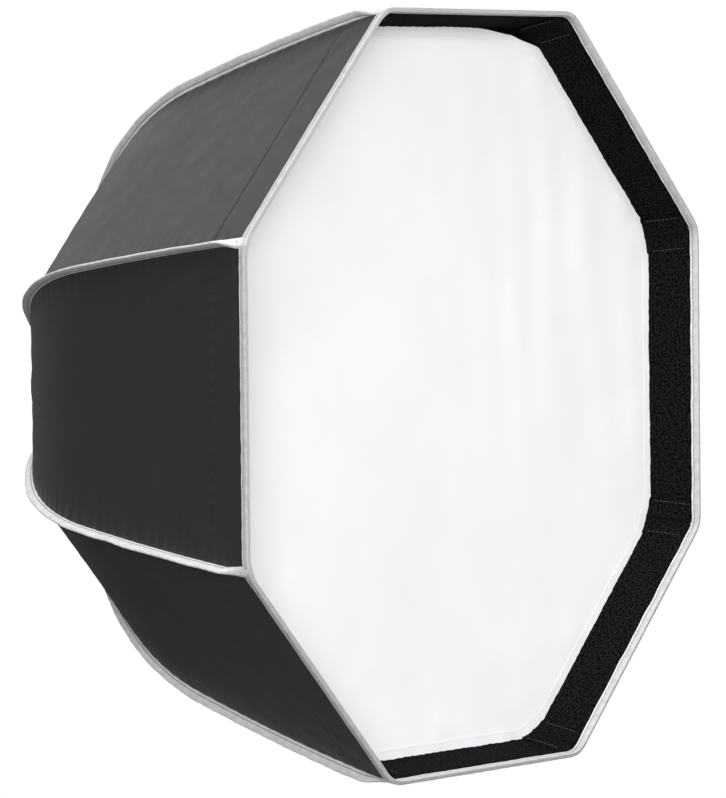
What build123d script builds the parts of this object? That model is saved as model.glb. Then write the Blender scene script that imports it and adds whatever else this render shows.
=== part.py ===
"""Folding eight-sided softbox with a rotating-lock hub and a three-lug bayonet mount.

Frame: the origin is the centre of the mount ring's rear mating face, on the optical axis.
The box opens towards -Y, and +Z is up. Lengths are in millimetres.
"Forward" distances are measured from the mating face towards the front rim, along -Y.
"""
import os
from math import cos, degrees, radians, sin, tan

from build123d import *

# ---------------------------------------------------------------- driving dimensions
SIDES = 8
STEP = 360 / SIDES                    # angle from one rib to the next
HALF = STEP / 2                       # angle from a rib to the middle of its gore
FIRST_RIB = HALF                      # a flat side faces up

RIM_RADIUS = 300.0                    # outer corner radius of the front rim
RIM_TAPER = 14.0                      # wall angle from the axis at the rim
BEND_TAPER = 19.0                     # wall angle where the tight bend starts
ROOT_TAPER = 66.0                     # wall angle where the rib runs straight to the hub
WALL_ARC = 2360.0                     # radius of the gentle front curve
BEND_ARC = 235.0                      # radius of the rear bend

FABRIC = 1.2                          # thickness of the gore fabric with its lining
SEAM_GAP = 0.2                        # half the gap between fabric bodies at a seam
PIVOT_RADIUS = 70.0                   # rib pivot, from the axis
PIVOT_FORWARD = 20.0                  # rib pivot, forward of the mating face
ROD_INSET = 5.4                       # rod centre inside the fabric's corner line
ROD_RADIUS = 2.25
ROD_FIT = 0.05
GORE_END_RADIUS = 99.0                # rear edge of the gores at their corners

BINDING_HEIGHT = 7.5                  # bound seam standing off the fabric along each rib
BINDING_HALF = 1.2                    # half its thickness
BINDING_GAP = 0.5
RIM_BINDING_DEPTH = 7.5
RIM_BINDING_THICK = 2.8
RIM_BINDING_GAP = 0.1
LOOP_START = 7.8                      # loop band behind the rim, inside the gores
LOOP_END = 38.0
LOOP_INSET = (1.4, 2.6)
LOOP_CORNER_GAP = 5.0
POCKET_START = 9.8                    # tip pockets over the rod tips
POCKET_INSET = (8.9, 10.1)
POCKET_HALF = 9.0

# hub
BORE_RADIUS = 50.0
SLEEVE_RADIUS = 52.6
SLEEVE_LENGTH = 24.0
FLANGE_RADIUS = 66.0
FLANGE_THICK = 2.5
LUG_COUNT = 3
LUG_ARC = 36.0
LUG_RADII = (55.0, 58.0, 62.5)        # web inside, web outside, foot outside
LUG_REACH = 9.5
LUG_FOOT = 3.0
LUG_STUD_RADIUS = 1.2                 # two studs on each lug pass through the flange
LUG_STUD_TURN = 11.0                  # angle from the lug's middle to a stud
HUB_RADIUS = 88.0                     # outside of the rib carrier
HOUSING_RADIUS = 79.0                 # outside of the rear housing
HUB_BORE = 53.0
FLOOR = (2.6, 5.1)                    # housing floor, rear and front faces
HOUSING_REAR = 0.5
FLANGE_GAP = 0.3
REAR_ROUND = 2.5                      # rounding of the housing's rear outer edge
JOINT_LINE = 9.5                      # face between the housing and the rib carrier
CARRIER_FRONT = 28.0
CARRIER_CHAMFERS = (3.5, 1.5, 1.5)    # outer front, inner front and outer rear edges
SPIGOT_RADIUS = 56.4
WALL_INSIDE = 72.0
SLOT_HALF = 4.3
SLOT_FLOOR_GAP = 0.4                  # free space under the opened lever's arm
SLOT_HEEL_GAP = 1.5
SLOT_BOSS_GAPS = (2.0, 0.5)           # beyond and behind the lever's boss
OVERCUT = 1.0                         # how far a cut runs past the face it opens
LEVER_HALF = 4.0
ARM_HALF = 3.6
ARM_THICK = 3.0                       # half the arm's thickness
ARM_LENGTH = 36.0
BOSS_RADIUS = 6.5
HEEL_LENGTH = 12.0
HEEL_REAR = 5.0
HEEL_FRONT = 1.5
ROD_START = 12.0                      # rod's rear end, from the pivot
ROD_SOCKET = 24.2                     # depth of the lever's rod hole
ROD_FRONT = 12.0                      # run at the rod's front end
TIP_CAP = (0.75, 2.6)                 # extra radius and length of the cap on the rod's tip
TIP_OVERLAP = 0.1
PIN_RADIUS = 2.0
PIN_LENGTH = 20.0
PIN_HOLE_EXTRA = 0.2
PIN_CHAMFER = 0.4
PIN_RUNNING_FIT = 0.05
PRESS_LINE = 0.02                     # drawn clearance where a pin or screw is held

# lock ring
LOCK_SWING = 12.0
LOCK_PLATE = (5.4, 7.9)
LOCK_INSIDE = 56.5
LOCK_OUTSIDE = 71.0
LIGHTENING_CIRCLE = 72.0              # blind pockets in the carrier's front face
LIGHTENING = (14.0, 8.0, 6.0)         # length, width and depth
TAB_HALF = 6.0
TAB_RADIUS = 84.0
TAB_ROOT = 2.0                        # how far a tab's root runs into the ring
TAB_WINDOW_EXTRA = 2.0                # degrees of free window beyond the ring's swing
RIDGE_COUNT = 2
RIDGE_PITCH = 2.4
RIDGE_HEIGHT = 1.2

SCREW_RADIUS = 1.5
SCREW_CLEARANCE = 1.7
SCREW_HEAD = 2.8                      # head radius, and height of the housing screws' heads
HEAD_SINK = 0.4
SOCKET_DEPTH = 1.4
MOUNT_HEAD_HEIGHT = 1.6
MOUNT_SCREW_SHORT = 0.2               # gap between a mount screw's end and the floor's front
SCREW_CIRCLE = 75.5
MOUNT_SCREW_CIRCLE = 60.5
MOUNT_SCREW_ANGLES = (10, 50, 130, 170, 250, 290)
HOUSING_SCREW_ANGLES = (45, 90, 135, 225, 270, 315)
SCREW_SOCKET = 1.4                    # corner radius of the hexagon socket
HOUSING_SCREW_LENGTH = 16.0
HOUSING_SCREW_HOLE = 11.0             # depth of the screw holes in the carrier

SPRING_CIRCLE = 64.0                  # detent springs, in pockets of the carrier
SPRING_HALF_SPAN = 11.0
SPRING_ENDS = 11.9                    # forward distances of the spring's ends and its bow
SPRING_BOW = 8.2
SPRING_HALF_WIDTH = 2.5
SPRING_THICK = 0.2
SPRING_POCKET = (7.0, 26.0, 2.7)

DIFFUSER_THICK = 0.8
DIFFUSER_EDGE_GAP = 3.4
DIFFUSER_CORNER_CUT = 24.0
DIFFUSER_BACK = 1.0                   # cloth's rear face, behind the loop band's rear edge
HOOK_RUN = (2.0, 20.0)                # hook tape, from the loop band's rear edge
HOOK_INSET = (1.6, 2.8)
HOOK_CORNER_GAP = 18.0

CUFF_PROFILE = (                      # distance outside the hub, and forward distance
    (0.3, 11.5), (1.5, 11.5), (1.5, 22.0), (2.4, 24.6), (1.2, 24.9), (0.3, 22.3))

INNER_RADIUS = 205.0
INNER_FORWARD = 215.0
STRAP_HALF = 7.5
STRAP_REACH = 246.0
STRAP_THICK = 1.2
STRAP_OVERLAP = 20.0                  # how far a strap runs over the inner diffuser
STACK_GAP = 0.1
SNAP_RADIUS = 6.0
SNAP_HEIGHT = 2.2
SNAP_ROUND = 0.8
SNAP_FROM_END = 10.0

# ---------------------------------------------------------------- derived places
SQUEEZE = cos(radians(HALF))          # corner radius to middle-of-side radius
WALL_RUN = WALL_ARC * radians(BEND_TAPER - RIM_TAPER)
BEND_RUN = BEND_ARC * radians(ROOT_TAPER - BEND_TAPER)
BEND_START = WALL_RUN                 # distances along the fabric from the rim
ROOT_START = WALL_RUN + BEND_RUN


def spread(arc, first, last):
    """Inward and rearward travel along an arc between two wall angles."""
    inward = arc * (cos(radians(first)) - cos(radians(last)))
    rearward = arc * (sin(radians(last)) - sin(radians(first)))
    return inward, rearward


WALL_IN, WALL_BACK = spread(WALL_ARC, RIM_TAPER, BEND_TAPER)
BEND_IN, BEND_BACK = spread(BEND_ARC, BEND_TAPER, ROOT_TAPER)
ROOT_RADIUS = RIM_RADIUS - WALL_IN - BEND_IN
PIVOT_LINE = PIVOT_FORWARD - ROD_INSET / sin(radians(ROOT_TAPER))
ROOT_FORWARD = PIVOT_LINE + (ROOT_RADIUS - PIVOT_RADIUS) / tan(radians(ROOT_TAPER))
RIM_FORWARD = ROOT_FORWARD + BEND_BACK + WALL_BACK
GORE_END = ROOT_START + (ROOT_RADIUS - GORE_END_RADIUS) / sin(radians(ROOT_TAPER))
RIB_ANGLES = [FIRST_RIB + STEP * k for k in range(SIDES)]
LUG_ANGLES = [90 + 360 / LUG_COUNT * k for k in range(LUG_COUNT)]
LUG_STUD_ANGLES = [angle + turn for angle in LUG_ANGLES for turn in (-LUG_STUD_TURN, LUG_STUD_TURN)]
LUG_STUD_CIRCLE = (LUG_RADII[0] + LUG_RADII[1]) / 2
GORE_ANGLES = [angle + HALF for angle in RIB_ANGLES]


def along(run, inset=0.0):
    """Radius and forward distance of the corner line at a run from the rim."""
    if run < BEND_START:
        taper = RIM_TAPER + (BEND_TAPER - RIM_TAPER) * run / WALL_RUN
        inward, back = spread(WALL_ARC, RIM_TAPER, taper)
    elif run < ROOT_START:
        taper = BEND_TAPER + (ROOT_TAPER - BEND_TAPER) * (run - BEND_START) / BEND_RUN
        inward, back = spread(BEND_ARC, BEND_TAPER, taper)
        inward, back = inward + WALL_IN, back + WALL_BACK
    else:
        taper = ROOT_TAPER
        inward = WALL_IN + BEND_IN + (run - ROOT_START) * sin(radians(taper))
        back = WALL_BACK + BEND_BACK + (run - ROOT_START) * cos(radians(taper))
    radius = RIM_RADIUS - inward - inset * cos(radians(taper))
    forward = RIM_FORWARD - back + inset * sin(radians(taper))
    return radius, forward


def radial_plane(angle):
    """Plane through the axis: local x is outward, local y is forward."""
    a = radians(angle)
    return Plane(origin=(0, 0, 0), x_dir=(cos(a), 0, sin(a)), z_dir=(sin(a), 0, -cos(a)))


def face_plane(forward):
    """Plane across the axis, looked at from the front."""
    return Plane(origin=(0, -forward, 0), x_dir=(1, 0, 0), z_dir=(0, -1, 0))


def side_plane(angle, sign, gap):
    """Plane that keeps what lies past the given angle, or before it for a sign of -1."""
    a = radians(angle)
    across = Vector(-sin(a), 0, cos(a)) * sign
    return Plane(origin=across * gap, z_dir=across)


def circle_points(radius, angles):
    """Points on a circle, for a sketch across the axis."""
    return [(radius * cos(radians(a)), radius * sin(radians(a))) for a in angles]


def edge_run(first, last, inset, squeeze):
    """Edges along the fabric, drawn in the current line builder."""
    low, high = min(first, last), max(first, last)
    stops = [low] + [s for s in (BEND_START, ROOT_START) if low < s < high] + [high]
    if first > last:
        stops.reverse()
    for start, end in zip(stops, stops[1:]):
        spots = [along(s, inset) for s in (start, (start + end) / 2, end)]
        spots = [(radius * squeeze, forward) for radius, forward in spots]
        if min(start, end) >= ROOT_START:
            Line(spots[0], spots[2])
        else:
            ThreePointArc(*spots)


def strip(first, last, outer, inner, squeeze=1.0):
    """Closed outline between two runs and two insets, drawn in the current line builder."""
    def corner(run, inset):
        radius, forward = along(run, inset)
        return radius * squeeze, forward

    edge_run(first, last, outer, squeeze)
    Line(corner(last, outer), corner(last, inner))
    edge_run(last, first, inner, squeeze)
    Line(corner(first, inner), corner(first, outer))


def save(piece, name):
    """Label a finished piece and write its file."""
    piece.part.label = name
    export_step(piece.part, f"parts/{name}.step")


# ---------------------------------------------------------------- hub
def make_mount_ring():
    """Metal bayonet insert: sleeve and flange, with holes for its screws and the lugs' studs."""
    with BuildPart() as ring:
        with BuildSketch(radial_plane(0)):
            with BuildLine():
                Polyline(
                    (BORE_RADIUS, 0), (FLANGE_RADIUS, 0), (FLANGE_RADIUS, FLANGE_THICK),
                    (SLEEVE_RADIUS, FLANGE_THICK), (SLEEVE_RADIUS, SLEEVE_LENGTH),
                    (BORE_RADIUS, SLEEVE_LENGTH), close=True)
            make_face()
        revolve(axis=Axis.Y)
        with BuildSketch(face_plane(FLANGE_THICK)):
            with Locations(*circle_points(MOUNT_SCREW_CIRCLE, MOUNT_SCREW_ANGLES)):
                Circle(SCREW_CLEARANCE)
            with Locations(*circle_points(LUG_STUD_CIRCLE, LUG_STUD_ANGLES)):
                Circle(LUG_STUD_RADIUS + PRESS_LINE)
        extrude(amount=-FLANGE_THICK, mode=Mode.SUBTRACT)
    save(ring, "mount_ring")


def make_bayonet_lugs():
    """Three lugs behind the mating face, each with two studs; one is notched for a lock pin."""
    with BuildPart() as lugs:
        for angle in LUG_ANGLES:
            with BuildSketch(radial_plane(angle - LUG_ARC / 2)):
                with BuildLine():
                    Polyline(
                        (LUG_RADII[0], 0), (LUG_RADII[1], 0),
                        (LUG_RADII[1], LUG_FOOT - LUG_REACH), (LUG_RADII[2], LUG_FOOT - LUG_REACH),
                        (LUG_RADII[2], -LUG_REACH), (LUG_RADII[0], -LUG_REACH), close=True)
                make_face()
            revolve(axis=-Axis.Y, revolution_arc=LUG_ARC)
        with BuildSketch(face_plane(0)):
            with Locations(*circle_points(LUG_STUD_CIRCLE, LUG_STUD_ANGLES)):
                Circle(LUG_STUD_RADIUS)
        extrude(amount=FLANGE_THICK)
        with BuildSketch(face_plane(-LUG_REACH)):
            with PolarLocations(LUG_RADII[2], 1, start_angle=LUG_ANGLES[0]):
                Circle(SCREW_HEAD)
        extrude(amount=LUG_FOOT, mode=Mode.SUBTRACT)
    save(lugs, "bayonet_lugs")


def make_rear_housing():
    """Rear half of the hub: floor, spigot for the lock ring, and outer wall with tab slots."""
    tab_arc = LOCK_SWING + 2 * degrees(TAB_HALF / WALL_INSIDE) + TAB_WINDOW_EXTRA
    with BuildPart() as housing:
        with BuildSketch(radial_plane(0)) as profile:
            with BuildLine():
                Polyline(
                    (HUB_BORE, FLOOR[0]), (FLANGE_RADIUS + FLANGE_GAP, FLOOR[0]),
                    (FLANGE_RADIUS + FLANGE_GAP, HOUSING_REAR), (HOUSING_RADIUS, HOUSING_REAR),
                    (HOUSING_RADIUS, JOINT_LINE), (WALL_INSIDE, JOINT_LINE),
                    (WALL_INSIDE, FLOOR[1]),
                    (SPIGOT_RADIUS, FLOOR[1]), (SPIGOT_RADIUS, JOINT_LINE),
                    (HUB_BORE, JOINT_LINE), close=True)
            make_face()
            outer = profile.vertices().group_by(Axis.X)[-1]
            fillet(outer.sort_by(Axis.Y)[-1], radius=REAR_ROUND)
        revolve(axis=Axis.Y)
        for side in (0, 180):
            with BuildSketch(radial_plane(side - LOCK_SWING / 2 - tab_arc / 2)):
                with Locations(((WALL_INSIDE + HOUSING_RADIUS) / 2, (FLOOR[1] + JOINT_LINE) / 2)):
                    Rectangle(HOUSING_RADIUS - WALL_INSIDE + 4 * OVERCUT, JOINT_LINE - FLOOR[1])
            revolve(axis=-Axis.Y, revolution_arc=tab_arc, mode=Mode.SUBTRACT)
        with BuildSketch(face_plane(JOINT_LINE)):
            with Locations(*circle_points(SCREW_CIRCLE, HOUSING_SCREW_ANGLES)):
                Circle(SCREW_CLEARANCE)
        extrude(amount=-JOINT_LINE, mode=Mode.SUBTRACT)
        with BuildSketch(face_plane(HOUSING_REAR)):
            with Locations(*circle_points(SCREW_CIRCLE, HOUSING_SCREW_ANGLES)):
                Circle(SCREW_HEAD + SCREW_CLEARANCE - SCREW_RADIUS)
        extrude(amount=SCREW_HEAD, mode=Mode.SUBTRACT)
        with BuildSketch(face_plane(FLOOR[1])):
            with Locations(*circle_points(MOUNT_SCREW_CIRCLE, MOUNT_SCREW_ANGLES)):
                Circle(SCREW_RADIUS + PRESS_LINE)
        extrude(amount=FLOOR[0] - FLOOR[1], mode=Mode.SUBTRACT)
    save(housing, "rear_housing")


def lever_slot():
    """Outline of the space one rib lever swings in, on the rib's radial plane."""
    floor_inset = ARM_THICK + SLOT_FLOOR_GAP
    slope = 1 / tan(radians(ROOT_TAPER))
    rear_line = PIVOT_FORWARD - floor_inset / sin(radians(ROOT_TAPER))
    boss_side = PIVOT_RADIUS + BOSS_RADIUS + SLOT_BOSS_GAPS[0]
    boss_rear = PIVOT_FORWARD - BOSS_RADIUS - SLOT_BOSS_GAPS[1]
    inner_side = PIVOT_RADIUS - HEEL_LENGTH - SLOT_HEEL_GAP
    rear = JOINT_LINE - OVERCUT
    front = CARRIER_FRONT + OVERCUT
    outside = HUB_RADIUS + 4 * OVERCUT
    Polyline(
        (inner_side, rear), (PIVOT_RADIUS + SLOT_BOSS_GAPS[0], rear), (boss_side, boss_rear),
        (boss_side, rear_line + (boss_side - PIVOT_RADIUS) * slope),
        (outside, rear_line + (outside - PIVOT_RADIUS) * slope),
        (outside, front), (inner_side, front), close=True)


def make_rib_carrier():
    """Front half of the hub: eight slots for the rib levers, with pin and screw holes."""
    with BuildPart() as carrier:
        with BuildSketch(radial_plane(0)) as profile:
            with BuildLine():
                Polyline(
                    (HUB_BORE, JOINT_LINE), (HUB_RADIUS, JOINT_LINE), (HUB_RADIUS, CARRIER_FRONT),
                    (HUB_BORE, CARRIER_FRONT), close=True)
            make_face()
            front = profile.vertices().group_by(Axis.Y)[-1].sort_by(Axis.X)
            chamfer(front[-1], length=CARRIER_CHAMFERS[0])
            chamfer(front[0], length=CARRIER_CHAMFERS[1])
            rear = profile.vertices().group_by(Axis.Y)[0].sort_by(Axis.X)
            chamfer(rear[-1], length=CARRIER_CHAMFERS[2])
        revolve(axis=Axis.Y)
        for angle in RIB_ANGLES:
            with BuildSketch(radial_plane(angle)):
                with BuildLine():
                    lever_slot()
                make_face()
            extrude(amount=SLOT_HALF, both=True, mode=Mode.SUBTRACT)
            with BuildSketch(radial_plane(angle)):
                with Locations((PIVOT_RADIUS, PIVOT_FORWARD)):
                    Circle(PIN_RADIUS + PRESS_LINE)
            extrude(amount=PIN_LENGTH / 2 + PIN_HOLE_EXTRA, both=True, mode=Mode.SUBTRACT)
        with BuildSketch(face_plane(JOINT_LINE)):
            with Locations(*circle_points(SCREW_CIRCLE, HOUSING_SCREW_ANGLES)):
                Circle(SCREW_RADIUS + PRESS_LINE)
        extrude(amount=HOUSING_SCREW_HOLE, mode=Mode.SUBTRACT)
        with BuildSketch(face_plane(JOINT_LINE)):
            with PolarLocations(SPRING_CIRCLE, 2, start_angle=90):
                Rectangle(SPRING_POCKET[0], SPRING_POCKET[1])
        extrude(amount=SPRING_POCKET[2], mode=Mode.SUBTRACT)
        with BuildSketch(face_plane(CARRIER_FRONT)):
            with PolarLocations(LIGHTENING_CIRCLE, SIDES):
                SlotOverall(LIGHTENING[0], LIGHTENING[1], rotation=90)
        extrude(amount=-LIGHTENING[2], mode=Mode.SUBTRACT)
    save(carrier, "rib_carrier")


def make_hub_hardware():
    """Pivot pins, screws and the two detent springs of the lock ring."""
    with BuildPart() as pins:
        for angle in RIB_ANGLES:
            with BuildSketch(radial_plane(angle)):
                with Locations((PIVOT_RADIUS, PIVOT_FORWARD)):
                    Circle(PIN_RADIUS)
            extrude(amount=PIN_LENGTH / 2, both=True)
        chamfer(pins.edges().filter_by(GeomType.CIRCLE), length=PIN_CHAMFER)
    save(pins, "pivot_pins")

    head_rear = HOUSING_REAR + HEAD_SINK
    socket_floor = head_rear + SOCKET_DEPTH
    head_front = HOUSING_REAR + SCREW_HEAD
    spots = circle_points(SCREW_CIRCLE, HOUSING_SCREW_ANGLES)
    with BuildPart() as housing_screws:
        with BuildSketch(face_plane(head_rear)):
            with Locations(*spots):
                Circle(SCREW_HEAD)
                RegularPolygon(SCREW_SOCKET, 6, mode=Mode.SUBTRACT)
        extrude(amount=socket_floor - head_rear)
        with BuildSketch(face_plane(socket_floor)):
            with Locations(*spots):
                Circle(SCREW_HEAD)
        extrude(amount=head_front - socket_floor)
        with BuildSketch(face_plane(head_front)):
            with Locations(*spots):
                Circle(SCREW_RADIUS)
        extrude(amount=HOUSING_SCREW_LENGTH)
    save(housing_screws, "housing_screws")

    spots = circle_points(MOUNT_SCREW_CIRCLE, MOUNT_SCREW_ANGLES)
    with BuildPart() as mount_screws:
        with BuildSketch(face_plane(0)):
            with Locations(*spots):
                Circle(SCREW_RADIUS)
        extrude(amount=FLOOR[1] - MOUNT_SCREW_SHORT)
        with BuildSketch(face_plane(-MOUNT_HEAD_HEIGHT)):
            with Locations(*spots):
                Circle(SCREW_HEAD)
        extrude(amount=MOUNT_HEAD_HEIGHT)
        with BuildSketch(face_plane(-MOUNT_HEAD_HEIGHT)):
            with Locations(*spots):
                RegularPolygon(SCREW_SOCKET, 6)
        extrude(amount=MOUNT_HEAD_HEIGHT / 2, mode=Mode.SUBTRACT)
    save(mount_screws, "mount_screws")

    with BuildPart() as springs:
        for angle in (90, 270):
            a = radians(angle)
            place = Plane(
                origin=(SPRING_CIRCLE * cos(a), 0, SPRING_CIRCLE * sin(a)),
                x_dir=(-sin(a), 0, cos(a)), z_dir=(cos(a), 0, sin(a)))
            left = (-SPRING_HALF_SPAN, SPRING_ENDS)
            right = (SPRING_HALF_SPAN, SPRING_ENDS)
            left_top = (left[0], left[1] + SPRING_THICK)
            right_top = (right[0], right[1] + SPRING_THICK)
            with BuildSketch(place):
                with BuildLine():
                    ThreePointArc(left, (0, SPRING_BOW), right)
                    Line(right, right_top)
                    ThreePointArc(right_top, (0, SPRING_BOW + 2 * SPRING_THICK), left_top)
                    Line(left_top, left)
                make_face()
            extrude(amount=SPRING_HALF_WIDTH, both=True)
    save(springs, "detent_springs")


def make_lock_ring():
    """Turning ring round the housing's spigot, with two ridged thumb tabs behind the carrier."""
    ridge_radii = [TAB_RADIUS - RIDGE_PITCH * (k + 0.5) for k in range(RIDGE_COUNT)]
    with BuildPart() as ring:
        with BuildSketch(face_plane(LOCK_PLATE[0])):
            Circle(LOCK_OUTSIDE)
            Circle(LOCK_INSIDE, mode=Mode.SUBTRACT)
            with PolarLocations((LOCK_OUTSIDE - TAB_ROOT + TAB_RADIUS) / 2, 2):
                Rectangle(TAB_RADIUS - LOCK_OUTSIDE + TAB_ROOT, 2 * TAB_HALF)
        extrude(amount=LOCK_PLATE[1] - LOCK_PLATE[0])
        with BuildSketch(face_plane(LOCK_PLATE[0])):
            for side in (-1, 1):
                with Locations(*[(side * radius, 0) for radius in ridge_radii]):
                    Rectangle(RIDGE_PITCH / 2, 2 * TAB_HALF - 1)
        extrude(amount=-RIDGE_HEIGHT)
    save(ring, "lock_ring")


def make_rear_cuff():
    """Fabric collar round the hub, under the rear edge of the gores."""
    with BuildPart() as cuff:
        with BuildSketch(radial_plane(0)):
            with BuildLine():
                Polyline(*[(HUB_RADIUS + gap, forward) for gap, forward in CUFF_PROFILE], close=True)
            make_face()
        revolve(axis=Axis.Y)
    save(cuff, "rear_cuff")


# ---------------------------------------------------------------- ribs
def make_rib(number, angle):
    """One rib: root lever, spring-steel rod with its tip cap, bound seam and tip pocket."""
    a = radians(ROOT_TAPER)
    out, forth = sin(a), cos(a)
    pivot = (PIVOT_RADIUS, PIVOT_FORWARD)

    def on_arm(distance, side=0.0):
        return (pivot[0] + distance * out + side * forth, pivot[1] + distance * forth - side * out)

    with BuildPart() as root:
        with BuildSketch(radial_plane(angle)):
            with Locations(pivot):
                Circle(BOSS_RADIUS)
            with BuildLine():
                Polyline(
                    (pivot[0] - HEEL_LENGTH, pivot[1] - HEEL_REAR), (pivot[0], pivot[1] - HEEL_REAR),
                    (pivot[0], pivot[1] + HEEL_FRONT),
                    (pivot[0] - HEEL_LENGTH, pivot[1] + HEEL_FRONT), close=True)
            make_face()
        extrude(amount=LEVER_HALF, both=True)
        with BuildSketch(radial_plane(angle)):
            with BuildLine():
                Polyline(
                    on_arm(0, -ARM_THICK), on_arm(ARM_LENGTH, -ARM_THICK),
                    on_arm(ARM_LENGTH, ARM_THICK), on_arm(0, ARM_THICK), close=True)
            make_face()
        extrude(amount=ARM_HALF, both=True)
        with BuildSketch(radial_plane(angle)):
            with Locations(pivot):
                Circle(PIN_RADIUS + PIN_RUNNING_FIT)
        extrude(amount=LEVER_HALF, both=True, mode=Mode.SUBTRACT)
        tip = radial_plane(angle).from_local_coords(Vector(*on_arm(ARM_LENGTH)))
        inward = radial_plane(angle).from_local_coords(Vector(*on_arm(0))) - tip
        with BuildSketch(Plane(origin=tip, z_dir=inward)):
            Circle(ROD_RADIUS + ROD_FIT)
        extrude(amount=ROD_SOCKET, mode=Mode.SUBTRACT)
    save(root, f"rib_root_{number}")

    with BuildPart() as rod:
        with BuildLine(radial_plane(angle)) as path:
            Line(on_arm(ROD_START), along(ROOT_START, ROD_INSET))
            spots = [along(s, ROD_INSET) for s in (ROOT_START, (ROOT_START + BEND_START) / 2, BEND_START)]
            ThreePointArc(*spots)
            spots = [along(s, ROD_INSET) for s in (BEND_START, BEND_START / 2, ROD_FRONT)]
            ThreePointArc(*spots)
        with BuildSketch(Plane(origin=path.line @ 0, z_dir=path.line % 0)):
            Circle(ROD_RADIUS)
        sweep()
        with BuildSketch(Plane(origin=path.line @ 1 + (path.line % 1) * TIP_OVERLAP, z_dir=path.line % 1)):
            Circle(ROD_RADIUS + TIP_CAP[0])
        extrude(amount=TIP_CAP[1], mode=Mode.ADD)
    save(rod, f"rib_rod_{number}")

    with BuildPart() as binding:
        with BuildSketch(radial_plane(angle)):
            with BuildLine():
                strip(0, GORE_END, -BINDING_GAP - BINDING_HEIGHT, -BINDING_GAP)
            make_face()
        extrude(amount=BINDING_HALF, both=True)
        with BuildSketch(radial_plane(angle)):
            with BuildLine():
                strip(POCKET_START, LOOP_END, *POCKET_INSET)
            make_face()
        extrude(amount=POCKET_HALF, both=True)
    save(binding, f"rib_binding_{number}")


# ---------------------------------------------------------------- fabric
def make_layer(angle, side, first, last, insets, rib_gap):
    """One layer of a half gore: a strip along the wall, cut at the rib and the middle line."""
    with BuildPart() as layer:
        with BuildSketch(radial_plane(angle)):
            with BuildLine():
                strip(first, last, *insets, SQUEEZE)
            make_face()
        extrude(amount=RIM_RADIUS * sin(radians(STEP)), both=True)
        split(bisect_by=side_plane(angle, side, SEAM_GAP), keep=Keep.TOP)
        split(bisect_by=side_plane(angle + side * HALF, -side, rib_gap), keep=Keep.TOP)
    return layer.part


def make_half_gore(number, angle, side):
    """Half of one gore, from its rib to its middle line, with its loop band and rim binding."""
    fabric_start = RIM_BINDING_DEPTH + RIM_BINDING_GAP
    fabric = make_layer(angle, side, fabric_start, GORE_END, (0, FABRIC), SEAM_GAP)
    binding = make_layer(angle, side, 0, RIM_BINDING_DEPTH, (0, RIM_BINDING_THICK), SEAM_GAP)
    loop_band = make_layer(angle, side, LOOP_START, LOOP_END, LOOP_INSET, LOOP_CORNER_GAP)
    with BuildPart() as gore:
        add(fabric)
        add(binding)
        add(loop_band)
    save(gore, f"gore_{number}_{'a' if side < 0 else 'b'}")


def make_front_diffuser():
    """White front diffuser with clipped corners, and its hook tape behind it."""
    radius, forward = along(LOOP_END)
    flat = radius * SQUEEZE - DIFFUSER_EDGE_GAP
    with BuildPart() as cloth:
        with BuildSketch(face_plane(forward - DIFFUSER_BACK)) as outline:
            RegularPolygon(flat, SIDES, major_radius=False, rotation=HALF)
            chamfer(outline.vertices(), length=DIFFUSER_CORNER_CUT)
        extrude(amount=DIFFUSER_THICK)
    save(cloth, "front_diffuser")

    with BuildPart() as tape:
        for angle in GORE_ANGLES:
            with BuildSketch(radial_plane(angle)):
                with BuildLine():
                    strip(LOOP_END + HOOK_RUN[0], LOOP_END + HOOK_RUN[1], *HOOK_INSET, SQUEEZE)
                make_face()
            extrude(amount=radius * sin(radians(HALF)) - HOOK_CORNER_GAP, both=True)
    save(tape, "diffuser_hook_tape")


def make_inner_diffuser():
    """Inner baffle on eight elastic straps with snap fasteners."""
    with BuildPart() as cloth:
        with BuildSketch(face_plane(INNER_FORWARD)):
            RegularPolygon(INNER_RADIUS, SIDES, rotation=HALF)
        extrude(amount=DIFFUSER_THICK)
    save(cloth, "inner_diffuser")

    strap_rear = INNER_FORWARD + DIFFUSER_THICK + STACK_GAP
    strap_start = INNER_RADIUS - STRAP_OVERLAP
    with BuildPart() as straps:
        with BuildSketch(face_plane(strap_rear)):
            with PolarLocations((strap_start + STRAP_REACH) / 2, SIDES, start_angle=FIRST_RIB):
                Rectangle(STRAP_REACH - strap_start, 2 * STRAP_HALF)
        extrude(amount=STRAP_THICK)
    save(straps, "inner_straps")

    with BuildPart() as snaps:
        with BuildSketch(face_plane(strap_rear + STRAP_THICK + STACK_GAP)):
            with PolarLocations(STRAP_REACH - SNAP_FROM_END, SIDES, start_angle=FIRST_RIB):
                Circle(SNAP_RADIUS)
        extrude(amount=SNAP_HEIGHT)
        fillet(snaps.edges().filter_by(GeomType.CIRCLE).group_by(Axis.Y)[0], radius=SNAP_ROUND)
    save(snaps, "inner_snaps")


os.makedirs("parts", exist_ok=True)
make_mount_ring()
make_bayonet_lugs()
make_rear_housing()
make_rib_carrier()
make_hub_hardware()
make_lock_ring()
make_rear_cuff()
for index, rib_angle in enumerate(RIB_ANGLES):
    make_rib(index + 1, rib_angle)
for index, gore_angle in enumerate(GORE_ANGLES):
    for half_side in (-1, 1):
        make_half_gore(index + 1, gore_angle, half_side)
make_front_diffuser()
make_inner_diffuser()
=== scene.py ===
"""Looks of the folding eight-sided softbox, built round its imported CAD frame.

Lengths are metres in the CAD frame: the box opens towards -Y and +Z is up. "Forward" is the
distance in front of the mount ring's rear face, along -Y. "Run" is the distance along a gore
from the front rim towards the hub, and an inset is a distance inside the gore's outer face.
"""
from math import cos, pi, radians, sin, tan

import bpy
import numpy as np
from mathutils import Matrix, Vector


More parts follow.
